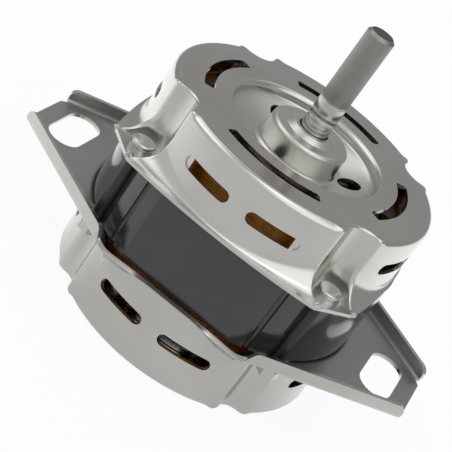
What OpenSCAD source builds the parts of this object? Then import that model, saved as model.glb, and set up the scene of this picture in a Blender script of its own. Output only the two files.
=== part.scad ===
// Washing machine motor: a capacitor-run induction motor with a lamination stack clamped between two
// pressed steel end shields. The lower shield carries two long mounting ears.
// Z is the shaft axis, Z = 0 is the resting face and +X points along the right ear.

/* [Shaft] */
// Diameter of the shaft in the bearings and where the pulley sits
shaft_d = 10; // [9:0.5:11]
// Height of the shaft's end above the flat top of the upper shield
shaft_reach = 42.8; // [30:0.1:60]
// Step from the bearing seats to the thicker middle of the shaft
shoulder_step = 1; // [0.5:0.1:1.5]
// Chamfer of the shaft's end
shaft_chamfer = 1.1; // [0.4:0.1:2]
// Height of the upper ring groove above the flat top
ring_groove_up = 15; // [12:0.1:20]
// Width of the upper ring groove
ring_groove_w = 1.2; // [0.6:0.1:2]
// Depth of both ring grooves
ring_groove_deep = 0.2; // [0.1:0.05:0.5]
// Height of the tool run-out groove above the flat top
runout_groove_up = 7; // [5:0.1:9]
// Width of the tool run-out groove
runout_groove_w = 0.6; // [0.4:0.1:1.2]

/* [Bearings] */
// Outer diameter of the ball bearings
bearing_od = 26; // [25:0.5:28]
// Width of the ball bearings
bearing_w = 8; // [7.5:0.1:9]
// Diameter of a ball
ball_d = 4.762; // [4.4:0.001:4.9]
// Number of balls in a bearing
ball_count = 7; // [6:1:8]
// Free height of the wave spring under the lower bearing
spring_h = 1.2; // [0.9:0.1:2]
// Sheet thickness of the wave spring
spring_t = 0.3; // [0.2:0.05:0.5]

/* [Stator] */
// Diameter of the lamination stack
stack_d = 102.4; // [101.6:0.1:103]
// Height of the lamination stack
stack_h = 28.6; // [20:0.1:50]
// Depth of the two flats of the stack below its round outside
flat_cut = 4.7; // [2.7:0.1:6.2]
// Bore of the stack as a share of its diameter
bore_share = 0.546875; // [0.53:0.001:0.555]
// Number of winding slots
slot_count = 24; // [18:6:24]
// Width of a tooth between two slots
tooth_w = 3.6; // [3:0.1:4.4]
// Height of a tooth's tip
tip_h = 1.2; // [0.8:0.1:1.6]
// Least thickness of the stack behind its slots
yoke_t = 5.9; // [4.5:0.1:6.3]
// Width of a slot's mouth
mouth_w = 2.2; // [1.6:0.1:2.8]
// Radial air gap between rotor and stator
air_gap = 0.35; // [0.25:0.05:0.6]
// Radius of the weld grooves on the outside of the stack
weld_groove_r = 1.2; // [0.8:0.1:1.6]
// Angle of the weld grooves from the middle of a flat
weld_groove_angle = 32; // [29:1:34]

/* [Windings] */
// Height of the upper end turns above their foot
upper_turn_h = 14; // [10:0.5:14.5]
// Height of the lower end turns below their foot
lower_turn_h = 10.1; // [8:0.1:11]
// Space between the stack and the foot of the end turns
turn_lift = 2.4; // [2:0.1:3]
// Share of a slot's winding room that the auxiliary winding takes
aux_share = 0.54; // [0.45:0.01:0.6]
// Gap between the two windings' end turns
phase_gap = 0.8; // [0.7:0.1:1.2]
// Thickness of the slot liners
liner_t = 0.3; // [0.2:0.05:0.4]
// Radius of one bundle in the outer layer of turns
bundle_r = 0.6; // [0.5:0.05:0.65]
// Step from one turn of the outer layer to the next
bundle_step = 1.65; // [1.65:0.05:2]

/* [Upper shield] */
// Height of the upper shield from the stack to its flat top
upper_h = 23.4; // [22.5:0.1:30]
// Distance from the stack's outside in to the round wall of the upper shield
wall_inset = 1.2; // [1:0.1:1.5]
// Sheet thickness of the upper shield
upper_t = 1.2; // [1:0.1:1.6]
// Rounding between the flat top and the wall
top_edge_r = 2.3; // [1.8:0.1:4]
// How far the rim stands out from the stack in the middle of the front and back
rim_front_out = 0.5; // [0.2:0.1:1.8]
// How far the rim lies inside the stack's outside in the middle of the sides
rim_side_in = 0.3; // [-1.8:0.1:0.4]
// Radius of the rim's four long arcs
rim_arc_r = 205; // [150:5:400]
// How far the rim's four corner cuts stand out from the stack
rim_corner_out = 8.8; // [7.8:0.1:11.8]
// Radius of the flare from the wall to the rim
flare_r = 5; // [3:0.5:6]
// Diameter of the four channels for the tie bolts in the upper wall
channel_d = 16.8; // [14:0.1:17.2]
// Distance from the inner side of the end turns in to the wall of the sunk dish
dish_gap = 2.6; // [1.6:0.1:5.5]
// Depth of the dish's upright wall
dish_wall = 4.4; // [3:0.1:5]
// Depth of the dish's floor at the boss
dish_deep = 8; // [7:0.1:8.4]
// Height of the boss above the flat top
boss_rise = 2.05; // [1.5:0.05:4]
// Wall thickness of the boss
boss_t = 1.4; // [1:0.1:2]
// Height of the collar round the shaft above the boss
collar_rise = 1.35; // [1:0.05:2]
// Gap between the shaft and the collar
collar_gap = 0.5; // [0.3:0.1:0.8]

/* [Openings in the shields] */
// Inner radius of the curved slots in the flat top and in the base
top_slot_in = 35.3; // [33:0.1:37]
// Radial width of those slots
top_slot_w = 4.1; // [3:0.1:5]
// Half angle of those slots
top_slot_angle = 27.5; // [20:0.5:30]
// Diameter of the vents in the dish
vent_d = 8; // [5:0.5:8]
// Diameter of the circle on which the vents lie
vent_circle_d = 40.4; // [40:0.1:42]
// Angle of the first vent
vent_angle = 13; // [0:1:60]
// Height of the wall slots
wall_slot_h = 4.4; // [3:0.1:6]
// Depth of the upper wall slots' middle below the flat top
upper_slot_down = 11.6; // [9:0.1:13]
// Height of the lower wall slots' middle above the base
lower_slot_up = 15.7; // [10:0.1:19]
// Half the angle left between two neighbouring wall slots
slot_bridge = 4; // [2:0.5:6]
// Angle to the far end of each wall slot
slot_far = 26; // [20:0.5:28]

/* [Lower shield] */
// Height of the lower shield from the base to its ear plate's top
cup_h = 28; // [28:0.1:36]
// Distance from the stack's outside in to the round wall of the lower shield
cup_inset = 0.6; // [0.5:0.1:1.1]
// Sheet thickness of the lower shield
cup_t = 1.5; // [1.2:0.1:1.8]
// Rounding between the base and the wall
cup_edge_r = 3; // [2:0.5:5]
// Diameter of the four channels in the lower wall
cup_channel_d = 10.4; // [10.2:0.1:12]
// Depth of the lower dish's floor at the boss
cup_dish_deep = 10; // [9:0.1:12]
// Gap between the base and the lower boss
cup_boss_lift = 0.5; // [0.3:0.1:2]
// Distance from the stack's outside in to the plate's front and back edges
plate_inset = 1.4; // [-0.8:0.1:1.7]
// Distance from the axis to the end of an ear
ear_reach = 80.4; // [76:0.1:100]
// Width of an ear at its end
ear_tip_w = 31.2; // [30:0.1:50]
// Distance from the axis to where an ear's slanted sides start
ear_root = 30; // [26:0.5:32]
// Height of the turned-up flanges above the ear plate
flange_h = 4.7; // [3:0.1:8]
// Rounding of a flange at the root of the ear
flange_root_r = 4.5; // [2:0.1:6]
// Rounding of a flange at the end of the ear
flange_tip_r = 3; // [1:0.1:5]
// Distance between the middles of the two mounting slots
ear_slot_pitch = 135.4; // [130:0.1:140]
// Width of a mounting slot
ear_slot_w = 12.6; // [6:0.1:14]
// Length of a mounting slot
ear_slot_l = 27.4; // [16:0.1:28]

/* [Outlet and cut-out] */
// Width of the thermal cut-out
protector_w = 12; // [10:0.5:14]
// Height of the thermal cut-out
protector_h = 4; // [3:0.5:5]
// Rounding along the thermal cut-out's top edges
protector_edge = 1; // [0.5:0.1:1.5]
// How far the grommet's lips stand out from the wall
grommet_lip = 1.2; // [0.8:0.1:1.6]

/* [Fasteners] */
// Distance from the stack's outside out to the tie bolts' middles
bolt_out = 1.2; // [1:0.1:1.8]
// Thread diameter of the tie bolts
bolt_d = 4; // [3.5:0.1:5]
// Diameter of a tie bolt's head
bolt_head_d = 8.4; // [8:0.1:9.5]
// Height of a tie bolt's head
bolt_head_h = 2.6; // [2:0.1:3.5]
// Diameter of the washers
washer_d = 9; // [8.6:0.1:9.8]
// Thickness of the washers
washer_t = 0.8; // [0.6:0.1:1.4]
// Width of a nut across its flats
nut_af = 7; // [6.5:0.1:8]
// Height of a nut
nut_h = 3.2; // [2.4:0.1:5]

/* [Hidden] */
$fn = 96;
// Radial clearance of seats between pieces that stay together
fit = 0.02;
// Clearance between pieces that must not touch
play = 0.15;
// Overlap used when one shape cuts or joins another
cut = 0.1;

shaft_r = shaft_d / 2;
thick_r = shaft_r + shoulder_step;
bearing_r = bearing_od / 2;
ball_r = ball_d / 2;
pitch_r = (bearing_r + shaft_r) / 2;
race_lip = 2.1;
seal_t = 0.35;
seal_recess = 0.25;
bolt_hole_r = bolt_d / 2 + 0.2;

stack_bottom = cup_h;
stack_top = stack_bottom + stack_h;
stack_r = stack_d / 2;
flat_span = stack_d - 2 * flat_cut;
bore_r = stack_r * bore_share;
slot_in = bore_r + tip_h;
slot_out = stack_r - flat_cut - yoke_t;
bolt_circle_r = stack_r + bolt_out;
aux_in = slot_in + 1.3;
slot_half = 180 / slot_count;

top_z = stack_top + upper_h;
upper_r = stack_r - wall_inset;
rim_front = stack_r + rim_front_out;
rim_side = stack_r - rim_side_in;
rim_corner = stack_r + rim_corner_out;
shelf_z = stack_top + upper_t;
channel_r = channel_d / 2;
dish_r = aux_in - dish_gap;
dish_foot_r = dish_r - 1.6;
dish_z = top_z - dish_deep;
boss_r = bearing_r + boss_t;
boss_foot = 1.6;
boss_z = top_z + boss_rise;
boss_edge_r = 1.4;
ceiling_z = boss_z - upper_t;
collar_r = shaft_r + collar_gap;
collar_z = boss_z + collar_rise;
edge_soft = 1.2;

cup_r = stack_r - cup_inset;
plate_w = stack_d - 2 * plate_inset;
cup_channel_r = cup_channel_d / 2;
cup_boss_r = bearing_r + cup_t;
plate_z = cup_h - cup_t;
pocket_z = cup_boss_lift + cup_t;
lower_bearing_z = pocket_z + spring_h + bearing_w / 2;
upper_bearing_z = ceiling_z - bearing_w / 2;
ear_angle = atan2((plate_w - ear_tip_w) / 2, ear_reach - ear_root);
ear_edge = norm([(plate_w - ear_tip_w) / 2, ear_reach - ear_root]);

main_out = slot_out - 0.8;
aux_out = aux_in + (main_out - aux_in - phase_gap) * aux_share;
main_in = aux_out + phase_gap;
bundle_ring_r = main_out + bundle_r + 0.7;
tie_out = bundle_ring_r + bundle_r + 0.1;
turn_top = stack_top + turn_lift + upper_turn_h;
turn_bottom = stack_bottom - turn_lift - lower_turn_h;
tie_t = 0.5;
tie_w = 2.4;

rotor_r = bore_r - air_gap;
bar_count = 28;
bar_r = 1.7;
bar_circle_r = rotor_r - 2.9;
ring_in = bar_circle_r - 5.2;
ring_out = bar_circle_r + 2.3;
end_ring_h = 6;
blade_h = 4.6;
blade_t = 1.6;
blade_count = 8;
shaft_bottom = pocket_z + 0.6;

rib_t = 1.3;
rib_from = slot_far - 2.8;
rib_to = slot_far + 5;
grommet_a0 = slot_bridge + play;
grommet_a1 = slot_far - play;

steel = [0.70, 0.70, 0.67];
shadow_steel = [0.55, 0.56, 0.56];
core_grey = [0.26, 0.26, 0.26];
copper = [0.36, 0.20, 0.05];
paper = [0.86, 0.84, 0.76];
alloy = [0.74, 0.75, 0.76];

// Centre line of a helix of turns that starts at height z0 and steps upward by a given step
function helix(r, z0, step, turns) =
    [for (i = [0 : turns * 24]) [r * cos(15 * i), r * sin(15 * i), z0 + step * i / 24]];

// Least clear distance between any two turns of a tube of radius t along a centre line
function own_gap(line, t) =
    min([for (i = [0 : len(line) - 13], j = [i + 12 : len(line) - 1]) norm(line[i] - line[j])]) - 2 * t;

function turn_count(height) = floor((height - 2 * bundle_r) / bundle_step);

upper_line = helix(bundle_ring_r, stack_top + turn_lift + bundle_r + 0.2, bundle_step,
    turn_count(upper_turn_h - 0.4));
lower_line = helix(bundle_ring_r, turn_bottom + bundle_r + 0.2, bundle_step,
    turn_count(lower_turn_h - 0.4));
echo(upper_turns_least_gap = own_gap(upper_line, bundle_r));
echo(lower_turns_least_gap = own_gap(lower_line, bundle_r));

// Places its children at the four tie bolts
module at_bolts() {
    for (a = [45 : 90 : 315]) rotate([0, 0, a]) translate([bolt_circle_r, 0, 0]) children();
}

// Repeats its children in all four quadrants
module four_ways() {
    for (mx = [0, 1], my = [0, 1]) mirror([mx, 0, 0]) mirror([0, my, 0]) children();
}

module ring(r_in, r_out, z, h) {
    translate([0, 0, z]) difference() {
        cylinder(r = r_out, h = h);
        translate([0, 0, -cut]) cylinder(r = r_in, h = h + 2 * cut);
    }
}

module annulus(r_in, r_out) {
    difference() {
        circle(r = r_out);
        circle(r = r_in);
    }
}

// Rectangle from the axis to r, with its outer corner at height z1 rounded
module rounded_top(r, z0, z1, edge) {
    translate([0, z0]) square([r, z1 - z0 - edge]);
    translate([0, z1 - edge - cut]) square([r - edge, edge + cut]);
    translate([r - edge, z1 - edge]) circle(r = edge);
}

// The same with its outer corner at height z0 rounded
module rounded_bottom(r, z0, z1, edge) {
    translate([0, z0 + edge]) square([r, z1 - z0 - edge]);
    translate([0, z0]) square([r - edge, edge + cut]);
    translate([r - edge, z0 + edge]) circle(r = edge);
}

// Strip with round ends, centred on the origin
module obround(length, width) {
    straight = length - width;
    square([straight, width], center = true);
    for (end = [-1, 1]) translate([end * straight / 2, 0]) circle(d = width, $fn = 48);
}

// A slot with round ends, cut along the radius through a wall midway between r_in and r_out
module wall_slot(r_in, r_out, z, h, a0, a1) {
    length = (r_in + r_out) * sin((a1 - a0) / 2);
    rotate([0, 0, (a0 + a1) / 2]) translate([r_in, 0, z]) rotate([90, 0, 90])
        linear_extrude(r_out - r_in) obround(length, h);
}

// The eight wall slots: two beside the middle of each side, the front and the back
module wall_slots(r_in, r_out, z) {
    for (side = [0 : 90 : 270]) rotate([0, 0, side]) {
        wall_slot(r_in, r_out, z, wall_slot_h, slot_bridge, slot_far);
        wall_slot(r_in, r_out, z, wall_slot_h, -slot_far, -slot_bridge);
    }
}

// The four curved slots of a flat top or base
module flat_slots(z, h) {
    for (side = [0 : 90 : 270])
        rotate([0, 0, side - top_slot_angle]) rotate_extrude(angle = 2 * top_slot_angle)
            translate([top_slot_in, z]) square([top_slot_w, h]);
}

module dish_vents(z, h) {
    for (a = [0 : 120 : 240])
        rotate([0, 0, vent_angle + a]) translate([vent_circle_d / 2, 0, z]) cylinder(d = vent_d, h = h);
}

// Outline of the upper rim: four long arcs and four corner cuts
module rim_outline() {
    intersection() {
        translate([0, rim_arc_r - rim_front]) circle(r = rim_arc_r, $fn = 360);
        translate([0, rim_front - rim_arc_r]) circle(r = rim_arc_r, $fn = 360);
        translate([rim_arc_r - rim_side, 0]) circle(r = rim_arc_r, $fn = 360);
        translate([rim_side - rim_arc_r, 0]) circle(r = rim_arc_r, $fn = 360);
        rotate([0, 0, 45]) square(2 * rim_corner, center = true);
    }
}

// The space of the sunk dish, seen from outside the shield, as heights below its flat face
module dish_section(deep, foot_r) {
    polygon([[0, cut], [dish_r + edge_soft, cut], [dish_r + edge_soft, 0], [dish_r, -edge_soft],
        [dish_r, -dish_wall + 0.8], [dish_foot_r, -dish_wall], [foot_r, -deep], [0, -deep]]);
}

// The same space grown by the sheet thickness t
module dish_shell_section(deep, foot_r, t) {
    polygon([[0, cut], [dish_r + t, cut], [dish_r + t, -dish_wall + 0.8 - t * 0.4],
        [dish_foot_r + t * 0.4, -dish_wall - t], [foot_r + t * 0.3, -deep - t], [0, -deep - t]]);
}

// Outside of the upper shield, as radius and height
module upper_outside() {
    difference() {
        union() {
            rounded_top(upper_r, stack_top, top_z, top_edge_r);
            translate([0, stack_top]) square([rim_corner + 8, upper_t]);
            translate([upper_r - cut, shelf_z - cut]) square([flare_r + cut, flare_r + cut]);
        }
        translate([upper_r + flare_r + fit, shelf_z + flare_r + fit]) circle(r = flare_r);
        translate([0, top_z]) dish_section(dish_deep, boss_r + boss_foot);
    }
    rounded_top(boss_r, dish_z - cut, boss_z, boss_edge_r);
    translate([0, boss_z - cut])
        polygon([[0, 0], [collar_r + 4, 0], [collar_r + 4, cut], [collar_r + 1.4, collar_rise + cut],
            [0, collar_rise + cut]]);
    difference() {
        translate([0, dish_z - cut]) square([boss_r + boss_foot, boss_foot + cut]);
        translate([boss_r + boss_foot, dish_z + boss_foot]) circle(r = boss_foot);
    }
}

// Space inside the upper shield, as radius and height
module upper_inside() {
    difference() {
        rounded_top(upper_r - upper_t, stack_top - cut, top_z - upper_t, top_edge_r - upper_t);
        translate([0, top_z]) dish_shell_section(dish_deep, boss_r + boss_foot, upper_t);
    }
    translate([0, dish_z - upper_t - cut])
        square([bearing_r + fit, ceiling_z - dish_z + upper_t + cut]);
    translate([0, ceiling_z - cut])
        polygon([[0, 0], [collar_r + 3.6, 0], [collar_r + 3.6, cut], [collar_r + 1.2, collar_rise + cut],
            [0, collar_rise + cut]]);
    square([collar_r, collar_z + 1]);
}

module upper_end_shield() {
    color(steel) {
        difference() {
            intersection() {
                rotate_extrude() upper_outside();
                translate([0, 0, stack_top]) linear_extrude(upper_h + 10) rim_outline();
            }
            at_bolts() translate([0, 0, shelf_z]) cylinder(r = channel_r, h = upper_h);
            difference() {
                rotate_extrude() upper_inside();
                at_bolts() translate([0, 0, stack_top - 1]) cylinder(r = channel_r + upper_t, h = upper_h);
            }
            at_bolts() translate([0, 0, stack_top - 1]) cylinder(r = bolt_hole_r, h = upper_t + 2);
            wall_slots(upper_r - 4, upper_r + 4, top_z - upper_slot_down);
            flat_slots(top_z - upper_t - 1, upper_t + 2);
            dish_vents(dish_z - 2 * upper_t, 3 * upper_t + dish_wall);
        }
        wall_ribs();
    }
}

// Upright stiffening ribs inside the front and back walls, which close the slots' far ends
module wall_ribs() {
    for (side = [-1, 1], way = [0, 180])
        rotate([0, 0, way - 90 + side * (rib_from + rib_to) / 2 - (rib_to - rib_from) / 2])
            rotate_extrude(angle = rib_to - rib_from)
                translate([upper_r - upper_t - rib_t, stack_top + 1])
                    square([rib_t + cut, upper_h - upper_t - 4]);
}

// Outside of the lower cup, as radius and height
module cup_outside() {
    difference() {
        rounded_bottom(cup_r, 0, cup_h - cut, cup_edge_r);
        mirror([0, 1]) dish_section(cup_dish_deep, cup_boss_r + boss_foot);
    }
    rounded_bottom(cup_boss_r, cup_boss_lift, cup_dish_deep + cut, boss_edge_r);
}

// Space inside the lower cup, as radius and height
module cup_inside() {
    difference() {
        rounded_bottom(cup_r - cup_t, cup_t, cup_h + 1, cup_edge_r - cup_t);
        mirror([0, 1]) dish_shell_section(cup_dish_deep, cup_boss_r + boss_foot, cup_t);
    }
    translate([0, pocket_z]) square([bearing_r + fit, cup_dish_deep]);
}

// Outline of the ear plate
module plate_outline() {
    half_w = plate_w / 2;
    half_tip = ear_tip_w / 2;
    polygon([[-ear_root, -half_w], [ear_root, -half_w], [ear_reach, -half_tip], [ear_reach, half_tip],
        [ear_root, half_w], [-ear_root, half_w], [-ear_reach, half_tip], [-ear_reach, -half_tip]]);
}

// Upright side of a flange: a strip with one large and one small round corner
module flange_side() {
    h = flange_h + cup_t;
    translate([flange_root_r, 0]) square([ear_edge - flange_root_r - flange_tip_r, h]);
    square([flange_root_r + cut, h - flange_root_r]);
    translate([flange_root_r, h - flange_root_r]) circle(r = flange_root_r);
    translate([ear_edge - flange_tip_r - cut, 0]) square([flange_tip_r + cut, h - flange_tip_r]);
    translate([ear_edge - flange_tip_r, h - flange_tip_r]) circle(r = flange_tip_r);
}

module flange() {
    translate([ear_root, -plate_w / 2, plate_z]) rotate([0, 0, ear_angle]) rotate([90, 0, 0])
        translate([0, 0, -cup_t - fit]) linear_extrude(cup_t) flange_side();
}

module ear_slot() {
    straight = ear_slot_l - ear_slot_w;
    translate([-ear_slot_w / 2, -straight / 2, plate_z - 1]) cube([ear_slot_w, straight, cup_t + 2]);
    for (end = [-1, 1])
        translate([0, end * straight / 2, plate_z - 1]) cylinder(d = ear_slot_w, h = cup_t + 2);
}

module lower_end_shield() {
    color(shadow_steel) difference() {
        union() {
            difference() {
                rotate_extrude() cup_outside();
                at_bolts() translate([0, 0, -1]) cylinder(r = cup_channel_r, h = cup_h + 2);
            }
            translate([0, 0, plate_z]) linear_extrude(cup_t) plate_outline();
            four_ways() flange();
        }
        difference() {
            rotate_extrude() cup_inside();
            at_bolts() translate([0, 0, -1]) cylinder(r = cup_channel_r + cup_t, h = cup_h + 3);
        }
        at_bolts() translate([0, 0, plate_z - 1]) cylinder(r = bolt_hole_r, h = cup_t + 2);
        wall_slots(cup_r - 4, cup_r + 4, lower_slot_up);
        flat_slots(-1, cup_t + 2);
        for (side = [-1, 1]) translate([side * ear_slot_pitch / 2, 0, 0]) ear_slot();
    }
}

// One slot of the stack, drawn smaller by inset on every side
module slot_shape(inset) {
    half_in = slot_in * sin(slot_half) - tooth_w / 2 - inset;
    half_out = slot_out * sin(slot_half) - tooth_w / 2 - inset;
    intersection() {
        annulus(slot_in + inset, slot_out - inset);
        polygon([[slot_in - 2, -half_in], [slot_out + 2, -half_out], [slot_out + 2, half_out],
            [slot_in - 2, half_in]]);
    }
}

module each_slot() {
    for (i = [0 : slot_count - 1]) rotate([0, 0, 2 * slot_half * i]) children();
}

module stator_core() {
    color(core_grey) translate([0, 0, stack_bottom]) linear_extrude(stack_h) difference() {
        intersection() {
            circle(r = stack_r, $fn = 240);
            square([2 * stack_r + 2, flat_span], center = true);
        }
        circle(r = bore_r);
        each_slot() {
            slot_shape(0);
            translate([bore_r - 1, -mouth_w / 2]) square([tip_h + 2, mouth_w]);
        }
        at_bolts() circle(r = bolt_hole_r);
        for (side = [-1, 1], way = [-90, 90])
            rotate([0, 0, way + side * weld_groove_angle]) translate([stack_r, 0]) circle(r = weld_groove_r);
    }
}

module slot_liners() {
    color(paper) translate([0, 0, stack_bottom - turn_lift + 0.4])
        linear_extrude(stack_h + 2 * turn_lift - 0.8) each_slot() difference() {
            slot_shape(0.05);
            slot_shape(0.05 + liner_t);
            circle(r = slot_in + 0.05 + liner_t + 0.02);
        }
}

module slot_wedges() {
    color([0.62, 0.50, 0.30]) translate([0, 0, stack_bottom - 1]) linear_extrude(stack_h + 2) each_slot()
        intersection() {
            slot_shape(0.05 + liner_t + 0.05);
            annulus(slot_in, aux_in - play);
        }
}

// A winding's two rings of end turns and the slot legs that join them
module winding(r_in, r_out, low, high) {
    edge = (r_out - r_in) * 0.3;
    foot = stack_bottom - turn_lift;
    head = stack_top + turn_lift;
    rotate_extrude() {
        translate([r_in, head]) square([r_out - r_in, high - head - edge]);
        translate([r_in + edge, head]) square([r_out - r_in - 2 * edge, high - head]);
        translate([r_in + edge, high - edge]) circle(r = edge);
        translate([r_out - edge, high - edge]) circle(r = edge);
        translate([r_in, low + edge]) square([r_out - r_in, foot - low - edge]);
        translate([r_in + edge, low]) square([r_out - r_in - 2 * edge, foot - low]);
        translate([r_in + edge, low + edge]) circle(r = edge);
        translate([r_out - edge, low + edge]) circle(r = edge);
    }
    translate([0, 0, foot - cut]) linear_extrude(head - foot + 2 * cut) each_slot() intersection() {
        slot_shape(0.05 + liner_t + 0.1);
        annulus(r_in + 0.05, r_out - 0.05);
    }
}

module main_winding() {
    color(copper) winding(main_in, main_out, turn_bottom, turn_top);
}

module auxiliary_winding() {
    color(copper) winding(aux_in, aux_out, turn_bottom + 1, turn_top - 2);
}

// Round tube along a centre line that winds about the Z axis, as one closed six-sided skin
module turns_tube(line, t) {
    sides = 6;
    last = len(line) - 1;
    points = [for (p = line, k = [0 : sides - 1])
        let (a = atan2(p[1], p[0]), b = 360 * k / sides)
        p + t * [cos(b) * cos(a), cos(b) * sin(a), sin(b)]];
    skin = [for (i = [0 : last - 1], k = [0 : sides - 1])
        let (m = (k + 1) % sides)
        [i * sides + k, (i + 1) * sides + k, (i + 1) * sides + m, i * sides + m]];
    start = [[for (k = [0 : sides - 1]) k]];
    end = [[for (k = [sides - 1 : -1 : 0]) last * sides + k]];
    polyhedron(points, concat(start, skin, end));
}

module upper_turns() {
    color(copper) turns_tube(upper_line, bundle_r);
}

module lower_turns() {
    color(copper) turns_tube(lower_line, bundle_r);
}

module phase_insulation() {
    gap_in = aux_out + play;
    gap_out = main_in - play;
    color(paper) {
        ring(gap_in, gap_out, stack_top + turn_lift, upper_turn_h - 1);
        ring(gap_in, gap_out, turn_bottom + 0.5, lower_turn_h - 0.5);
    }
}

// A strap round the end turns, between two slots
module tie(z0, z1) {
    inner = aux_in - 0.2;
    translate([inner - tie_t, -tie_w / 2, z0 - tie_t]) difference() {
        cube([tie_out - inner + 2 * tie_t, tie_w, z1 - z0 + 2 * tie_t]);
        translate([tie_t, -cut, tie_t]) cube([tie_out - inner, tie_w + 2 * cut, z1 - z0]);
    }
}

module winding_ties() {
    color([0.88, 0.87, 0.82]) for (i = [0 : slot_count / 2 - 1])
        rotate([0, 0, slot_half * (4 * i + 1)]) {
            tie(stack_top + turn_lift - 0.1, turn_top + 0.1);
            tie(turn_bottom - 0.1, stack_bottom - turn_lift + 0.1);
        }
}

// Small box on top of the end turns, midway between two straps
module thermal_protector() {
    color([0.14, 0.14, 0.15]) rotate([0, 0, 19 * slot_half]) translate([0, 0, turn_top]) difference() {
        translate([aux_in, -protector_w / 2, 0]) cube([main_out - aux_in, protector_w, protector_h]);
        for (side = [-1, 1])
            translate([aux_in - 1, side * protector_w / 2, protector_h]) rotate([0, 90, 0])
                cylinder(r = protector_edge, h = main_out - aux_in + 2);
    }
}

module rotor_core() {
    color(core_grey) translate([0, 0, stack_bottom]) linear_extrude(stack_h) difference() {
        circle(r = rotor_r);
        circle(r = thick_r);
        for (i = [0 : bar_count - 1]) rotate([0, 0, 360 / bar_count * i]) translate([bar_circle_r, 0])
            circle(r = bar_r, $fn = 24);
    }
}

module cage_end(z) {
    ring(ring_in, ring_out, z, end_ring_h);
    for (i = [0 : blade_count - 1]) rotate([0, 0, 360 / blade_count * i])
        translate([ring_in + 0.6, -blade_t / 2, z + end_ring_h - cut])
            cube([ring_out - ring_in - 1.2, blade_t, blade_h + cut]);
}

module rotor_cage() {
    color(alloy) {
        cage_end(stack_top);
        mirror([0, 0, 1]) cage_end(-stack_bottom);
        for (i = [0 : bar_count - 1]) rotate([0, 0, 360 / bar_count * i])
            translate([bar_circle_r, 0, stack_bottom - 1]) cylinder(r = bar_r, h = stack_h + 2, $fn = 24);
    }
}

// Half section of the shaft, as radius and height
module shaft_section() {
    end_z = top_z + shaft_reach;
    low = lower_bearing_z + bearing_w / 2;
    high = upper_bearing_z - bearing_w / 2;
    polygon([[0, shaft_bottom], [shaft_r - 0.5, shaft_bottom], [shaft_r, shaft_bottom + 0.5], [shaft_r, low],
        [thick_r, low], [thick_r, high], [shaft_r, high], [shaft_r, end_z - shaft_chamfer],
        [shaft_r - shaft_chamfer, end_z], [0, end_z]]);
}

module shaft() {
    color(alloy) rotate_extrude() difference() {
        shaft_section();
        translate([shaft_r - ring_groove_deep, top_z + ring_groove_up]) square([1, ring_groove_w]);
        translate([shaft_r - ring_groove_deep, top_z + runout_groove_up]) square([1, runout_groove_w]);
    }
}

module bearing_outer_ring(z) {
    color(alloy) translate([0, 0, z]) rotate_extrude() difference() {
        translate([pitch_r + race_lip, -bearing_w / 2]) square([bearing_r - pitch_r - race_lip, bearing_w]);
        translate([pitch_r, 0]) circle(r = ball_r + play);
    }
}

module bearing_inner_ring(z) {
    color(alloy) translate([0, 0, z]) rotate_extrude() difference() {
        translate([shaft_r, -bearing_w / 2]) square([pitch_r - race_lip - shaft_r, bearing_w]);
        translate([pitch_r, 0]) circle(r = ball_r + play);
    }
}

module at_balls(z) {
    for (i = [0 : ball_count - 1]) rotate([0, 0, 360 / ball_count * i]) translate([pitch_r, 0, z]) children();
}

module bearing_balls(z) {
    color(alloy) at_balls(z) sphere(r = ball_r, $fn = 32);
}

module bearing_cage(z) {
    half_h = bearing_w / 2 - seal_recess - seal_t - 0.3;
    color([0.80, 0.66, 0.36]) difference() {
        ring(pitch_r - 0.65, pitch_r + 0.65, z - half_h, 2 * half_h);
        at_balls(z) sphere(r = ball_r + play, $fn = 32);
    }
}

module bearing_shields(z) {
    color(steel) for (side = [-1, 1])
        ring(pitch_r - race_lip + 0.4, pitch_r + race_lip,
            z + side * (bearing_w / 2 - seal_recess - seal_t / 2) - seal_t / 2, seal_t);
}

module upper_bearing_outer_ring() bearing_outer_ring(upper_bearing_z);
module upper_bearing_inner_ring() bearing_inner_ring(upper_bearing_z);
module upper_bearing_balls() bearing_balls(upper_bearing_z);
module upper_bearing_cage() bearing_cage(upper_bearing_z);
module upper_bearing_shields() bearing_shields(upper_bearing_z);
module lower_bearing_outer_ring() bearing_outer_ring(lower_bearing_z);
module lower_bearing_inner_ring() bearing_inner_ring(lower_bearing_z);
module lower_bearing_balls() bearing_balls(lower_bearing_z);
module lower_bearing_cage() bearing_cage(lower_bearing_z);
module lower_bearing_shields() bearing_shields(lower_bearing_z);

// Wave spring: a thin ring whose height swings three times in a turn
module preload_spring() {
    steps = 48;
    r_in = pitch_r + race_lip + 0.2;
    r_out = bearing_r - 0.4;
    swing = (spring_h - spring_t) / 2 - 0.02;
    points = [for (i = [0 : steps - 1])
        let (a = 360 / steps * i, z = pocket_z + spring_h / 2 + swing * sin(3 * a))
        each [for (c = [[r_in, -1], [r_out, -1], [r_out, 1], [r_in, 1]])
            [c[0] * cos(a), c[0] * sin(a), z + c[1] * spring_t / 2]]];
    faces = [for (i = [0 : steps - 1], k = [0 : 3])
        let (j = (i + 1) % steps, m = (k + 1) % 4)
        each [[4 * i + k, 4 * j + k, 4 * j + m], [4 * i + k, 4 * j + m, 4 * i + m]]];
    color(alloy) polyhedron(points, faces);
}

module bolt_ring(r_in, r_out, z, h) {
    at_bolts() ring(r_in, r_out, z, h);
}

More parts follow.
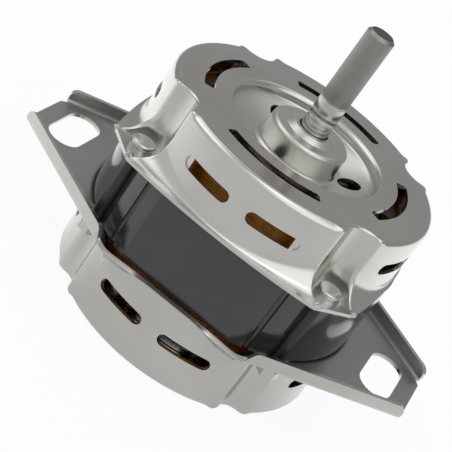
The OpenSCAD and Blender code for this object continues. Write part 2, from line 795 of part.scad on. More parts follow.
module tie_bolts() {
    head_z = shelf_z + washer_t;
    end_z = plate_z - washer_t - nut_h - 1.2;
    color(steel) at_bolts() difference() {
        union() {
            translate([0, 0, end_z]) cylinder(d = bolt_d, h = head_z - end_z + cut);
            translate([0, 0, head_z]) rotate_extrude()
                rounded_top(bolt_head_d / 2, 0, bolt_head_h, bolt_head_h * 0.45);
        }
        for (turn = [0, 90]) rotate([0, 0, turn])
            translate([-2.4, -0.5, head_z + bolt_head_h - 1.2]) cube([4.8, 1, 2]);
    }
}

module tie_bolt_washers() {
    color(steel) bolt_ring(bolt_d / 2 + play, washer_d / 2, shelf_z, washer_t);
}

// Split spring washers under the nuts
module lock_washers() {
    color(steel) at_bolts() difference() {
        ring(bolt_d / 2 + play, nut_af / 2 + 0.3, plate_z - washer_t, washer_t);
        translate([0, -0.4, plate_z - washer_t - cut]) cube([nut_af, 0.8, washer_t + 2 * cut]);
    }
}

module tie_bolt_nuts() {
    top = plate_z - washer_t;
    color(steel) at_bolts() difference() {
        translate([0, 0, top - nut_h]) cylinder(d = nut_af / cos(30), h = nut_h, $fn = 6);
        translate([0, 0, top - nut_h - 1]) cylinder(d = bolt_d, h = nut_h + 2);
    }
}

// Part of the grommet: a slot shape that follows the round wall between two radii
module grommet_band(r_in, r_out, h, spread) {
    intersection() {
        wall_slot(cup_r - wall_slot_h * 2, cup_r + wall_slot_h * 2, lower_slot_up, h, grommet_a0 - spread,
            grommet_a1 + spread);
        ring(r_in, r_out, lower_slot_up - wall_slot_h * 2, wall_slot_h * 4);
    }
}

// Rubber outlet in a slot of the lower wall, under the right ear, with a flat hole for the leads
module lead_grommet() {
    lip = grommet_lip;
    lip_a = 1.4;
    inner = cup_r - cup_t;
    color([0.10, 0.10, 0.11]) difference() {
        union() {
            grommet_band(inner - lip, cup_r + lip, wall_slot_h - 4 * fit, 0);
            grommet_band(inner - lip, inner - fit, wall_slot_h + 2 * lip, lip_a);
            grommet_band(cup_r + fit, cup_r + lip, wall_slot_h + 2 * lip, lip_a);
        }
        wall_slot(cup_r - 6, cup_r + 4, lower_slot_up, wall_slot_h - 1.8, grommet_a0 + 4, grommet_a1 - 4);
    }
}

lower_end_shield();
upper_end_shield();
stator_core();
slot_liners();
slot_wedges();
main_winding();
auxiliary_winding();
upper_turns();
lower_turns();
phase_insulation();
winding_ties();
thermal_protector();
rotor_core();
rotor_cage();
shaft();
upper_bearing_outer_ring();
upper_bearing_inner_ring();
upper_bearing_balls();
upper_bearing_cage();
upper_bearing_shields();
lower_bearing_outer_ring();
lower_bearing_inner_ring();
lower_bearing_balls();
lower_bearing_cage();
lower_bearing_shields();
preload_spring();
tie_bolts();
tie_bolt_washers();
lock_washers();
tie_bolt_nuts();
lead_grommet();
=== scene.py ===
import bpy
import bmesh
import math
import numpy as np
from mathutils import Matrix, Vector
from mathutils.geometry import tessellate_polygon


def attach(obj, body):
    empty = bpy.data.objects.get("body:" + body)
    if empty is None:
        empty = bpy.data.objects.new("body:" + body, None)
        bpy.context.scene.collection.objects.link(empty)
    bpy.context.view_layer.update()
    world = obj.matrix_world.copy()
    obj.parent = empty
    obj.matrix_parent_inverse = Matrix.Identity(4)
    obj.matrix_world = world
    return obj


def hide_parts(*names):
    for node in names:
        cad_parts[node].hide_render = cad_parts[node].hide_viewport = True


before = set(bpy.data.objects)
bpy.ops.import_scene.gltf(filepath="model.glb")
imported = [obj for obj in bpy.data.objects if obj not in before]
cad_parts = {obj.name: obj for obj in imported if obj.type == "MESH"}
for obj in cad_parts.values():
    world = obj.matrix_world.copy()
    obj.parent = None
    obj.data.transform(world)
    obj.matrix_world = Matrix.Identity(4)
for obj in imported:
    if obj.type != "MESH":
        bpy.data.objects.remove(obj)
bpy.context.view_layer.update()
print("frame loaded")

mm = 0.001
turn = 2 * math.pi


# Camera
# The rotation vector and offset take a point of the motor, measured from the middle of its flat top,
# to the camera's own axes (right, down, forward). They were fitted to points of the photograph.
view = {
    "focalPixels": 1382.63645,
    "imagePixels": 452,
    "rotation": (1.923173, 0.73863014, 0.319620721),
    "offset": (26.9428357, -29.0935155, 451.904838),
    "topHeight": 80.0,
    "sensor": 36.0, "nearest": 0.01, "farthest": 50,
}


# Turns a rotation vector into a matrix: the cross-product matrix's exponential
def rotationOf(vector):
    angle = np.linalg.norm(vector)
    x, y, z = np.array(vector) / angle
    cross = np.array([[0, -z, y], [z, 0, -x], [-y, x, 0]])
    return np.eye(3) + math.sin(angle) * cross + (1 - math.cos(angle)) * cross @ cross


# Puts the camera where the fit says, looking forward along its own third axis
def addCamera():
    turned = rotationOf(view["rotation"])
    place = (0, 0, view["topHeight"]) - turned.T @ np.array(view["offset"])
    axes = turned.T @ np.diag([1.0, -1.0, -1.0])
    lens = bpy.data.cameras.new("camera")
    lens.sensor_width = view["sensor"]
    lens.lens = view["sensor"] * view["focalPixels"] / view["imagePixels"]
    lens.clip_start = view["nearest"]
    lens.clip_end = view["farthest"]
    camera = bpy.data.objects.new("camera", lens)
    bpy.context.scene.collection.objects.link(camera)
    camera.matrix_world = Matrix.Translation((place * mm).tolist()) @ Matrix(axes.tolist()).to_4x4()
    bpy.context.scene.camera = camera


addCamera()
bpy.context.scene.view_settings.view_transform = "Standard"
print("camera set")


# Mesh helpers
# Gathers grids of points, in millimetres, into one mesh
class Skin:
    def __init__(self):
        self.points, self.faces, self.count = [], [], 0

    # Plan points in rows and columns, at heights z, become quads. close joins the last column to the first.
    def grid(self, plan, z, close=False):
        rows, cols = plan.shape[:2]
        points = np.concatenate([plan, np.broadcast_to(z, (rows, cols))[..., None]], -1)
        i = np.arange(rows - 1)[:, None] * cols
        j = np.arange(cols if close else cols - 1)[None, :]
        k = (j + 1) % cols
        quads = np.stack([i + j, i + k, i + cols + k, i + cols + j], -1).reshape(-1, 4)
        self.add(points.reshape(-1, 3), quads)

    def add(self, points, faces):
        self.points.append(points)
        self.faces.append(np.array(faces) + self.count)
        self.count += len(points)

    def merge(self, other):
        self.faces += [part + self.count for part in other.faces]
        self.points += other.points
        self.count += other.count

    # Joins two rings of plan points at height z by triangles, in the order of their angles
    def zip(self, ringA, ringB, z):
        both = np.concatenate([ringA, ringB])
        order = np.argsort(np.arctan2(both[:, 1], both[:, 0]), kind="stable")
        isA = order < len(ringA)
        lastA, lastB = (order[mine][(np.cumsum(mine) - 1) % mine.sum()] for mine in (isA, ~isA))
        beforeA, beforeB = np.roll(lastA, 1), np.roll(lastB, 1)
        tris = np.stack([np.where(isA, beforeA, lastA), np.where(isA, lastA, beforeB), lastB], -1)
        self.add(np.column_stack([both, np.full(len(both), z)]), tris)

    # Makes the object. Its sheet faces away from the point within.
    def piece(self, name, within=None, weld=2e-6):
        mesh = bpy.data.meshes.new(name)
        faces = [face for part in self.faces for face in part.tolist()]
        mesh.from_pydata((np.concatenate(self.points) * mm).tolist(), [], faces)
        work = bmesh.new()
        work.from_mesh(mesh)
        bmesh.ops.remove_doubles(work, verts=work.verts, dist=weld)
        bmesh.ops.dissolve_degenerate(work, edges=work.edges, dist=weld / 2)
        bmesh.ops.recalc_face_normals(work, faces=work.faces)
        if within is not None:
            middle = Vector(within) * mm
            out = sum(f.calc_area() * f.normal.dot(f.calc_center_median() - middle) for f in work.faces)
            if out < 0:
                bmesh.ops.reverse_faces(work, faces=work.faces)
        work.to_mesh(mesh)
        work.free()
        mesh.polygons.foreach_set("use_smooth", [True] * len(mesh.polygons))
        obj = bpy.data.objects.new(name, mesh)
        bpy.context.scene.collection.objects.link(obj)
        return obj


# Applies a modifier with the given settings to a piece
def applied(obj, kind, **settings):
    modifier = obj.modifiers.new(kind, kind)
    for key, value in settings.items():
        setattr(modifier, key, value)
    made = bpy.data.meshes.new_from_object(obj.evaluated_get(bpy.context.evaluated_depsgraph_get()))
    obj.modifiers.clear()
    obj.data = made


# How the edges of a sheet are rounded, in millimetres, and from what angles, in degrees
sheetEdges = {"round": 0.12, "segments": 2, "roundFrom": 50, "sharpFrom": 42, "faceWeight": 50}


# Gives a sheet its thickness inwards, adds what is welded to it, rounds the edges and marks creases sharp
def thicken(obj, thickness, welded=None):
    s = sheetEdges
    applied(obj, "SOLIDIFY", thickness=thickness * mm, offset=-1.0, use_even_offset=False,
            use_quality_normals=True)
    if welded is not None:
        work = bmesh.new()
        work.from_mesh(obj.data)
        work.from_mesh(welded.data)
        work.to_mesh(obj.data)
        work.free()
        bpy.data.objects.remove(welded)
    applied(obj, "BEVEL", width=s["round"] * mm, segments=s["segments"], limit_method="ANGLE",
            angle_limit=math.radians(s["roundFrom"]))
    obj.data.polygons.foreach_set("use_smooth", [True] * len(obj.data.polygons))
    obj.data.set_sharp_from_angle(angle=math.radians(s["sharpFrom"]))
    applied(obj, "WEIGHTED_NORMAL", mode="FACE_AREA", weight=s["faceWeight"], keep_sharp=True)


# Steps from a to b with n intervals, both ends counted
def steps(a, b, n):
    return np.linspace(a, b, n + 1)


# Plan points at a distance from the axis and an angle
def polar(distance, angle):
    return np.stack([distance * np.cos(angle), distance * np.sin(angle)], -1)


# Plan points turned round the axis
def rotated(points, angle):
    x, y, c, d = points[..., 0], points[..., 1], np.cos(angle), np.sin(angle)
    return np.stack([x * c - y * d, x * d + y * c], -1)


# Vectors divided by their lengths
def unit(vectors):
    return vectors / np.linalg.norm(vectors, axis=-1, keepdims=True)


# Smooth step from 0 to 1
def ease(t):
    t = np.clip(t, 0, 1)
    return t * t * (3 - 2 * t)


# A path through corner points where each corner is replaced by an arc of the given radius. No piece of it
# is longer than longest.
def roundedPath(corners, radii, longest, arcSteps=6):
    corners = [np.array(c, float) for c in corners]
    path = [corners[0]]
    for before, here, after, radius in zip(corners, corners[1:], corners[2:], radii):
        a, b = unit(before - here), unit(after - here)
        half = math.acos(np.clip(a @ b, -1, 1)) / 2
        reach = radius / math.tan(half)
        centre = here + unit(a + b) * radius / math.sin(half)
        start, end = here + a * reach - centre, here + b * reach - centre
        sweep = math.pi - 2 * half
        side = np.sign(start[0] * end[1] - start[1] * end[0])
        path += list(rotated(start, side * steps(0, sweep, arcSteps)) + centre)
    path.append(corners[-1])
    full = [path[0]]
    for point in path[1:]:
        gap = np.linalg.norm(point - full[-1])
        if gap > 1e-6:
            n = max(1, math.ceil(gap / longest))
            full += [full[-1] + (point - full[-1]) * k / n for k in range(1, n + 1)]
    return np.array(full)


# Boundary of a rectangle with round corners, as four sides that each start in the middle of a corner
# arc: bottom, right, top, left. Each side is given as many points as it has fractions.
def roundedSides(halfA, halfB, radius, fractions):
    sides = []
    for k, shares in enumerate(fractions):
        a, b = (halfA, halfB) if k % 2 == 0 else (halfB, halfA)
        arc = radius * math.pi / 4
        length = 2 * (a - radius)
        s = np.array(shares) * (2 * arc + length)
        turned = np.where(s < arc, s / radius - math.pi / 4,
                          np.where(s > arc + length, (s - arc - length) / radius, 0.0))
        along = np.clip(s - arc, 0, length) - length / 2
        x = along + radius * np.sin(turned)
        y = -(b - radius) - radius * np.cos(turned)
        sides.append(rotated(np.stack([x, y], -1), k * turn / 4))
    return sides


# Ring of points between a rectangle's edge, which has points at the given x and y, and a hole in it with
# round corners. Rows go from the rectangle in to the hole, by the shares that rings gives.
def holePatch(x, y, centre, halfA, halfB, radius, rings):
    rectangle = ((x, y[0]), (x[-1], y), (x[::-1], y[-1]), (x[0], y[::-1]))
    outer = np.concatenate([np.stack(np.broadcast_arrays(*side), -1)[:-1] for side in rectangle])
    fx, fy = ((v - v[0]) / (v[-1] - v[0]) for v in (x, y))
    hole = roundedSides(halfA, halfB, radius, (fx, fy, 1 - fx[::-1], 1 - fy[::-1]))
    inner = np.concatenate([side[:-1] for side in hole]) + centre
    w = np.array(rings)[:, None, None]
    return outer * (1 - w) + inner * w


# Shared plan of both shields' cups
# One eighth of a cup runs from the middle of a side, at angle 0, to the bolt's diagonal at 45 degrees.
# Heights are counted as depth, from the cup's flat face towards its open rim.
diagonal = math.radians(45)
alongDir = polar(1, diagonal)
acrossDir = alongDir[::-1] * (1, -1)
boltCircle = 52.4
eighths = [(k, way) for k in range(4) for way in (-1, 1)]


# The bolt channel's wall: a circle round the bolt as far as lastTurn, then a straight line outwards.
# u is the length along it from its innermost point. Gives the distances along and across the diagonal.
def channelWall(u, channel):
    bend = np.minimum(u / channel["radius"], channel["lastTurn"])
    rest = np.maximum(u - channel["radius"] * channel["lastTurn"], 0)
    along = boltCircle - channel["radius"] * np.cos(bend) + rest * math.sin(channel["lastTurn"])
    across = channel["radius"] * np.sin(bend) + rest * math.cos(channel["lastTurn"])
    return along, across


# How the corner of wall and channel is searched. The fillet's handles are a share of its size, and slopes
# are taken over small steps.
meeting = {"straight": 14, "points": 500, "guess": 0.12, "rounds": 14, "handle": 0.6,
           "smallAngle": 1e-4, "smallLength": 0.01}


# Plan of a cup's wall in one eighth. Every row stands outwards from the wall's radius by out(angle, tau).
# The columns are the fixed angles, the rest of the wall up to the ridge, the ridge's fillet as a Bezier
# curve and the channel's wall in to the diagonal. Gives the points, and an angle that sets the height.
def wallPlan(tau, s, out, fixed):
    tau = np.atleast_1d(np.array(tau, float))[:, None]
    ridge, channel = s["ridge"], s["channel"]
    dense = steps(0, channel["radius"] * channel["lastTurn"] + meeting["straight"], meeting["points"])
    along, across = channelWall(dense, channel)
    far = np.hypot(along, across)
    first = int(np.argmin(far))
    corner = np.full(tau.shape, diagonal - meeting["guess"])
    for _ in range(meeting["rounds"]):
        u = np.interp(s["wall"] + out(corner, tau), far[first:], dense[first:])
        a, c = channelWall(u, channel)
        corner = 0.5 * corner + 0.5 * (diagonal - np.arctan2(c, a))
    rho = s["wall"] + out(corner, tau)
    endAngle = corner - ridge / rho
    rest = fixed[-1] + (endAngle - fixed[-1]) * steps(0, 1, s["restSteps"])[1:]
    angle = np.concatenate([np.broadcast_to(fixed, (len(tau), len(fixed))), rest], 1)

    def wallPoint(at):
        return polar(s["wall"] + out(at, tau), at)

    def channelPoint(at):
        a, c = channelWall(at, channel)
        return a[..., None] * alongDir + c[..., None] * acrossDir

    uStart = u - ridge
    p0, p3 = wallPoint(endAngle), channelPoint(uStart)
    p1 = p0 + unit(p0 - wallPoint(endAngle - meeting["smallAngle"])) * meeting["handle"] * ridge
    p2 = p3 - unit(channelPoint(uStart - meeting["smallLength"]) - p3) * meeting["handle"] * ridge
    t = steps(0, 1, s["ridgeSteps"])[1:, None]
    fillet = p0 * (1 - t) ** 3 + 3 * p1 * t * (1 - t) ** 2 + 3 * p2 * t ** 2 * (1 - t) + p3 * t ** 3
    t = steps(0, 1, s["channelSteps"])[1:]
    held = np.broadcast_to(corner, (len(tau), s["ridgeSteps"]))
    level = np.concatenate([angle, held, corner + (diagonal - corner) * t], 1)
    return np.concatenate([wallPoint(angle), fillet, channelPoint(uStart * (1 - t))], 1), level


# Outward normals of one eighth's plan line, which is square to both of its end lines
def planNormals(plan):
    tangent = np.gradient(plan, axis=0)
    normal = unit(tangent[:, ::-1] * (1, -1))
    normal[0], normal[-1] = (1, 0), alongDir
    return normal


# Turns points of one eighth to side k (0 front, 1 right, 2 back, 3 left), mirrored where way is -1
def onSide(points, k, way):
    return rotated(points * (1, way), (k - 1) * turn / 4)


# Distance along a line of points, from 0 at its start to 1 at its end
def along(line):
    run = np.concatenate([[0], np.cumsum(np.linalg.norm(np.diff(line, axis=0), axis=1))])
    return run / run[-1]


# Margins kept in both cups, in millimetres, and the run over which the channel's edge grows to the wall's
margins = {"aboveSlot": 1.0, "curvedSlot": 1.5, "dish": 1, "edgeRun": 2.6, "edgeLead": 0.2, "flare": 0.8,
           "slotCorner": 0.7, "slotEnd": 0.01}


# Steps of both cups' surfaces, and the shares of the way in to a hole at which the rings round it lie
cupSteps = {"besideSlot": 2, "alongSlot": 18, "slot": 6, "edge": 7, "wall": 3, "flare": 9, "face": 4,
            "dish": 120, "vent": 16, "betweenVents": 32, "ventRows": 8}
holeRings = {"wallSlot": (0, 0.45, 0.75, 0.92, 1), "curvedSlot": (0, 0.5, 0.8, 0.94, 1),
             "vent": (0, 0.35, 0.65, 0.88, 1)}


# Angles of a cup's columns, from the middle of a side to beyond its wall slot
def slotColumns(s):
    a1, a2, a3 = (math.radians(angle) for angle in s["columns"])
    return np.concatenate([steps(0, a1, cupSteps["besideSlot"]), steps(a1, a2, cupSteps["alongSlot"])[1:],
                           steps(a2, a3, cupSteps["besideSlot"])[1:]])


# A cup with its flat face, curved slots, wall slots, bolt channels, flared rim and sunk dish. flare gives
# each column's arc radius, sweep and starting depth. Returns the rim's line in each eighth, before and
# after it is turned to its side.
def cupSurface(skin, s, flare, fixed, dishProfile, vents, lean=None):
    cut1, cut2, cut3 = (int(np.argmin(abs(fixed - math.radians(a)))) for a in s["columns"])
    near = s["slotDepth"] - s["slotHalf"] - margins["aboveSlot"]
    far = s["slotDepth"] + s["slotHalf"] + s["slotBelow"]
    slotsFrom, slotsTo = s["topSlotIn"] - margins["curvedSlot"], s["topSlotOut"] + margins["curvedSlot"]
    dishEdge = s["dishOut"] + margins["dish"]
    edgeLines, rimLines = [], {}
    for k, way in eighths:

        def out(angle, tau):
            radius, sweep, _ = flare(angle, k)
            return radius * (1 - np.cos(sweep * tau))

        def place(points, depth, close=False):
            points = np.broadcast_to(points, np.broadcast_shapes(points.shape, np.shape(depth) + (1,)))
            if lean is not None:
                points = lean(points, depth, k)
            plan = onSide(points, k, way)
            skin.grid(plan, s["face"] - s["facing"] * depth, close)
            return plan

        plan, level = (v[0] for v in wallPlan([0.0], s, out, fixed))
        normal = planNormals(plan)
        ridgeColumn = len(fixed) - 1 + s["restSteps"]
        run = along(plan) * np.linalg.norm(np.diff(plan, axis=0), axis=1).sum()
        share = ease((run[ridgeColumn] - run + margins["edgeLead"]) / margins["edgeRun"])
        edge = s["channelEdge"] + (s["edge"] - s["channelEdge"]) * share

        # the rounded edge between the flat face and the wall
        bend = steps(0, math.pi / 2, cupSteps["edge"])[:, None]
        rounded = plan - normal * (edge * (1 - np.sin(bend)))[..., None]
        place(rounded, edge * (1 - np.cos(bend)))

        # the upright wall above, beside and below its slot, and the flare out to the rim
        _, _, start = flare(level, k)
        low = np.where(np.arange(len(plan)) <= cut2, far, np.minimum(far, start - margins["flare"]))
        t = steps(0, 1, cupSteps["wall"])[:, None]
        place(plan, edge * (1 - t) + near * t)
        place(plan, low * (1 - t) + start * t)
        t = steps(0, 1, cupSteps["slot"])[:, None]
        band = near * (1 - t) + low * t
        for part in (slice(cut1 + 1), slice(cut2, None)):
            place(plan[part], band[:, part])
        middle = math.radians((s["slotFrom"] + s["slotTo"]) / 2)
        half = math.radians((s["slotTo"] - s["slotFrom"]) / 2)
        ring = holePatch(fixed[cut1:cut2 + 1] * s["wall"], steps(near, far, cupSteps["slot"]),
                         (middle * s["wall"], s["slotDepth"]), half * s["wall"], s["slotHalf"],
                         s["slotHalf"] - margins["slotEnd"], holeRings["wallSlot"])
        place(polar(s["wall"], ring[..., 0] / s["wall"]), ring[..., 1], close=True)
        tau = steps(0, 1, cupSteps["flare"])
        flared, level = wallPlan(tau, s, out, fixed)
        radius, sweep, start = flare(level, k)
        rim = place(flared, start + radius * np.sin(sweep * tau[:, None]))
        rimLines[k, way] = (flared[-1], rim[-1])

        # the flat face round its curved slots
        inner = rounded[0]
        spread = along(inner)
        spread = (spread - spread[cut3]) / (1 - spread[cut3])
        a3 = fixed[cut3]
        angles = np.append(fixed, np.zeros(len(plan) - len(fixed)))
        angles = np.where(np.arange(len(plan)) <= cut3, angles, a3 + (diagonal - a3) * spread)
        circle = polar(1, angles)
        w = steps(0, 1, cupSteps["face"])[:, None, None]
        place(circle * slotsTo * (1 - w) + inner * w, 0)
        place(circle[cut3:] * steps(slotsFrom, slotsTo, cupSteps["slot"])[:, None, None], 0)
        place(circle * steps(dishEdge, slotsFrom, 1)[:, None, None], 0)
        edgeLines.append(onSide(circle * dishEdge, k, way))

    # the curved slots of the flat face
    mean = (s["topSlotIn"] + s["topSlotOut"]) / 2
    both = np.concatenate([-fixed[:cut3 + 1][::-1], fixed[1:cut3 + 1]])
    for k in range(4):
        ring = holePatch(both * mean, steps(slotsFrom, slotsTo, cupSteps["slot"]), (0, mean),
                         math.radians(s["topSlotAngle"]) * mean, (s["topSlotOut"] - s["topSlotIn"]) / 2,
                         margins["slotCorner"], holeRings["curvedSlot"])
        skin.grid(onSide(polar(ring[..., 1], ring[..., 0] / mean), k, 1), s["face"], close=True)

    # the dish and its boss, joined to the flat face
    angles = dishSurface(skin, s, dishProfile, vents)
    edgeLine = np.concatenate(edgeLines)
    at, order = np.unique(np.round(np.arctan2(edgeLine[:, 1], edgeLine[:, 0]), 6), return_index=True)
    order = order[at > 1e-5 - math.pi]
    skin.zip(polar(s["dishOut"], angles), edgeLine[order], s["face"])
    return rimLines


# The dish is its profile turned round the axis. Where it has vents, each lies in a cell of the cone whose
# rings run from the cell's edge to the vent's circle. Returns the angles of its columns.
def dishSurface(skin, s, profile, vents):
    def spin(part, at, close=False):
        skin.grid(polar(part[:, :1], at), s["face"] - s["facing"] * part[:, 1:], close)

    if not vents:
        angles = turn * np.arange(cupSteps["dish"]) / cupSteps["dish"]
        spin(profile, angles, close=True)
        return angles
    cell, inside, outside = math.radians(vents["cell"]), vents["inside"], vents["outside"]
    across = cupSteps["vent"]
    between = steps(cell, turn / 3 - cell, cupSteps["betweenVents"])
    third = np.concatenate([steps(-cell, cell, across), between[1:-1]])
    centres = math.radians(vents["angle"]) + turn / 3 * np.arange(3)
    angles = np.concatenate([third + c for c in centres])
    sunk = profile[:, 1] > vents["coneDepth"]
    cone = profile[(profile[:, 0] > vents["bossRadius"]) & sunk]

    def depthAt(radius):
        return np.interp(radius, cone[:, 0], cone[:, 1])

    inner = profile[:np.argmax((profile[:, 0] > inside) & sunk)]
    outer = profile[np.argmax((profile[:, 0] > outside) & (profile[:, 1] > vents["rimDepth"])):]
    rows = steps(inside, outside, cupSteps["ventRows"])
    spin(np.vstack([inner, [inside, depthAt(inside)]]), angles, close=True)
    spin(np.vstack([[outside, depthAt(outside)], outer]), angles, close=True)
    for c in centres:
        spin(np.column_stack([rows, depthAt(rows)]), between + c)
        middle = polar(vents["circle"], c)
        arc = polar(1, third[:across + 1] + c)
        sides = [arc * inside, arc[-1] * rows[:, None], arc[::-1] * outside, arc[0] * rows[::-1, None]]
        edge = np.concatenate([side[:-1] for side in sides])
        toward = np.arctan2(edge[:, 1] - middle[1], edge[:, 0] - middle[0])
        hole = middle + polar(vents["radius"], toward)
        w = np.array(holeRings["vent"])[:, None, None]
        ring = edge * (1 - w) + hole * w
        depth = depthAt(np.hypot(ring[..., 0], ring[..., 1]))
        skin.grid(ring, s["face"] - s["facing"] * depth, close=True)
    return angles


# Upper shield
upper = {
    "face": 80.0, "facing": 1, "wall": 50.0, "sheet": 1.2, "edge": 2.3, "channelEdge": 0.9,
    "channel": {"radius": 7.4, "lastTurn": math.radians(98)}, "ridge": 1.5,
    "restSteps": 7, "ridgeSteps": 6, "channelSteps": 9, "columns": (2.6, 27.4, 29.7),
    "rimDepth": 22.2, "rimArc": 205.0, "rimFront": 51.7, "rimSide": 50.9, "rimCorner": 60.0,
    "cornerMiddle": 59.7,
    "slotDepth": 11.6, "slotHalf": 2.2, "slotFrom": 4.0, "slotTo": 26.0, "slotBelow": 1.0,
    "topSlotIn": 35.3, "topSlotOut": 39.4, "topSlotAngle": 27.5, "dishOut": 31.2,
    "vents": {"circle": 20.2, "radius": 4.0, "angle": 13.0, "cell": 13.5, "inside": 15.9, "outside": 24.7,
              "bossRadius": 14.5, "coneDepth": 4, "rimDepth": 3},
    "ribFrom": 23.2, "ribTo": 31.0, "ribInside": 47.5, "ribLow": 57.6, "ribHigh": 75.8, "ribCorner": 0.4,
    "dish": [(5.5, -3.2), (5.5, -3.4), (7.2, -3.4), (9.4, -2.05), (14.4, -2.05), (14.4, 8.0), (26.3, 4.38),
             (27.9, 3.6), (27.9, 0), (31.2, 0)],
    "dishRadii": (0.12, 0.5, 0.5, 1.4, 1.9, 0.5, 0.6, 1.9), "dishLongest": 1.3, "within": (0, 0, 62),
}


# The rim lies on the nearer of a long arc and the corner's cut, and the flare to it is a quarter circle
def upperFlare(angle, k):
    middle = upper["rimFront"] if k % 2 == 0 else upper["rimSide"]
    centre = middle - upper["rimArc"]
    arc = centre * np.cos(angle) + np.sqrt(upper["rimArc"] ** 2 - (centre * np.sin(angle)) ** 2)
    radius = np.minimum(arc, upper["rimCorner"] / np.cos(angle - diagonal)) - upper["wall"]
    return radius, math.pi / 2 + 0 * radius, upper["rimDepth"] - radius


# Upright ribs inside the front and back walls: a rounded rectangle of radius and height carried round an
# arc, drawn together to a point at both ends
def buildRibs():
    s, skin = upper, Skin()
    outside = s["wall"] - s["sheet"] / 2
    halfR, halfZ = (outside - s["ribInside"]) / 2, (s["ribHigh"] - s["ribLow"]) / 2
    shares = [steps(0, 1, 4)[:-1]] * 4
    section = np.concatenate(roundedSides(halfR, halfZ, s["ribCorner"], shares))
    size = np.array([0, 1] + [1] * 8 + [0])[:, None]
    r = outside - halfR + section[:, 0] * size
    z = s["ribLow"] + halfZ + section[:, 1] * size
    low, high = s["ribFrom"], s["ribTo"]
    sweep = np.radians(np.concatenate([[low], steps(low, high, 8), [high]]))[:, None]
    for side in (-1, 1):
        for middle in (90, 270):
            at = math.radians(middle) + side * sweep
            skin.grid(polar(r, at), z, close=True)
    return skin.piece("wallRibs")


# The upper cup with the shelves for the bolts' heads, one sheet with the ribs welded inside
def buildUpperShield():
    s, skin, fixed = upper, Skin(), slotColumns(upper)
    profile = roundedPath(s["dish"], s["dishRadii"], s["dishLongest"])
    rims = cupSurface(skin, s, upperFlare, fixed, profile, s["vents"])
    # the shelf that carries the bolt's head reaches from the channel's foot to a straight cut
    for (k, way), (rim, _) in rims.items():
        foot = rim[len(fixed) - 1 + s["restSteps"]:]
        share = along(foot)[:, None]
        chord = foot[0] * (1 - share) + alongDir * s["cornerMiddle"] * share
        w = steps(0, 1, 5)[:, None, None]
        shelf = onSide(foot * (1 - w) + chord * w, k, way)
        skin.grid(shelf, s["face"] - s["rimDepth"])
    shield = skin.piece("upperShield", s["within"])
    thicken(shield, s["sheet"], welded=buildRibs())
    return shield


upperShield = buildUpperShield()
print("upper shield", len(upperShield.data.polygons), "faces")


# Lower shield
lower = {
    "face": 0.0, "facing": -1, "wall": 50.6, "sheet": 1.5, "edge": 3.0, "channelEdge": 1.7,
    "channel": {"radius": 5.2, "lastTurn": math.radians(96)}, "ridge": 2.2,
    "restSteps": 5, "ridgeSteps": 8, "channelSteps": 7, "columns": (2.6, 27.4, 29.7),
    "plateTop": 28.0, "frontEdge": 49.8, "earRoot": 30.0, "earEnd": 80.4, "earHalf": 15.6, "fillet": 2.2,
    "slotDepth": 15.7, "slotHalf": 2.2, "slotFrom": 4.0, "slotTo": 26.0, "slotBelow": 0.7,
    "leanFrom": 18.6, "leanShort": 0.3, "rimTilt": 12, "bendPast": 1.9, "filletRun": 4.5, "foldDepth": 6,
    "topSlotIn": 35.3, "topSlotOut": 39.4, "topSlotAngle": 27.5, "dishOut": 30.8,
    "dish": [(0, 0.5), (14.5, 0.5), (14.5, 10.0), (26.3, 4.4), (27.9, 3.6), (27.9, 1.2), (29.1, 0),
             (30.8, 0)],
    "dishRadii": (1.4, 1.6, 0.35, 0.45, 0.5, 0.7), "dishLongest": 1.6, "within": (0, 0, 14),
    "bendRadius": 3.2, "flangeHeight": 6.2, "flangeRoot": 4.5, "flangeTip": 3.0,
    "closest": 0.1, "earSlot": 67.7, "earSlotHalf": (6.3, 13.7), "boltHole": 2.2,
}
cornerAngle = math.atan2(lower["earRoot"], lower["frontEdge"])
earSlope = math.atan2(lower["frontEdge"] - lower["earHalf"], lower["earEnd"] - lower["earRoot"])
earAlong = polar(1, earSlope)
earOut = earAlong[::-1] * (1, -1)
earCorner = np.array([lower["earRoot"], -lower["frontEdge"]])
bendLine = earOut @ earCorner - lower["bendRadius"]
bendAngle = cornerAngle + math.radians(lower["bendPast"])


# How far the straight front edge stands out from the wall
def frontReach(angle):
    return lower["frontEdge"] / np.cos(np.minimum(angle, cornerAngle)) - lower["wall"]


# At the front and back the flare is one fillet, cut off by the straight front edge. From the ear's corner
# on it is a smaller fillet under the plate.
def lowerFlare(angle, k):
    s = lower
    plate = s["plateTop"] - s["sheet"]
    big = frontReach(cornerAngle)
    atBend = bendLine / np.cos(bendAngle - earSlope) - s["wall"]
    angle = np.asarray(angle, float)
    small = np.interp(angle, [cornerAngle, bendAngle], [big, atBend])
    small = small + (s["fillet"] - small) * ease((angle - bendAngle) / math.radians(s["filletRun"]))
    if k % 2 == 1:
        small = s["fillet"] + 0 * angle
    reach = frontReach(angle)
    tilt = math.radians(s["rimTilt"]) * (1 - reach / big)
    sweep = np.hypot(np.arccos(1 - np.clip(reach, 0, big) / big), tilt)
    front = (angle <= cornerAngle + 1e-9) & (k % 2 == 0)
    radius = np.where(front, big, small)
    sweep = np.where(front, sweep, math.pi / 2)
    end = s["plateTop"] - s["sheet"] * np.sin(sweep)
    return radius, sweep, np.where(front, end, plate) - radius * np.sin(sweep)


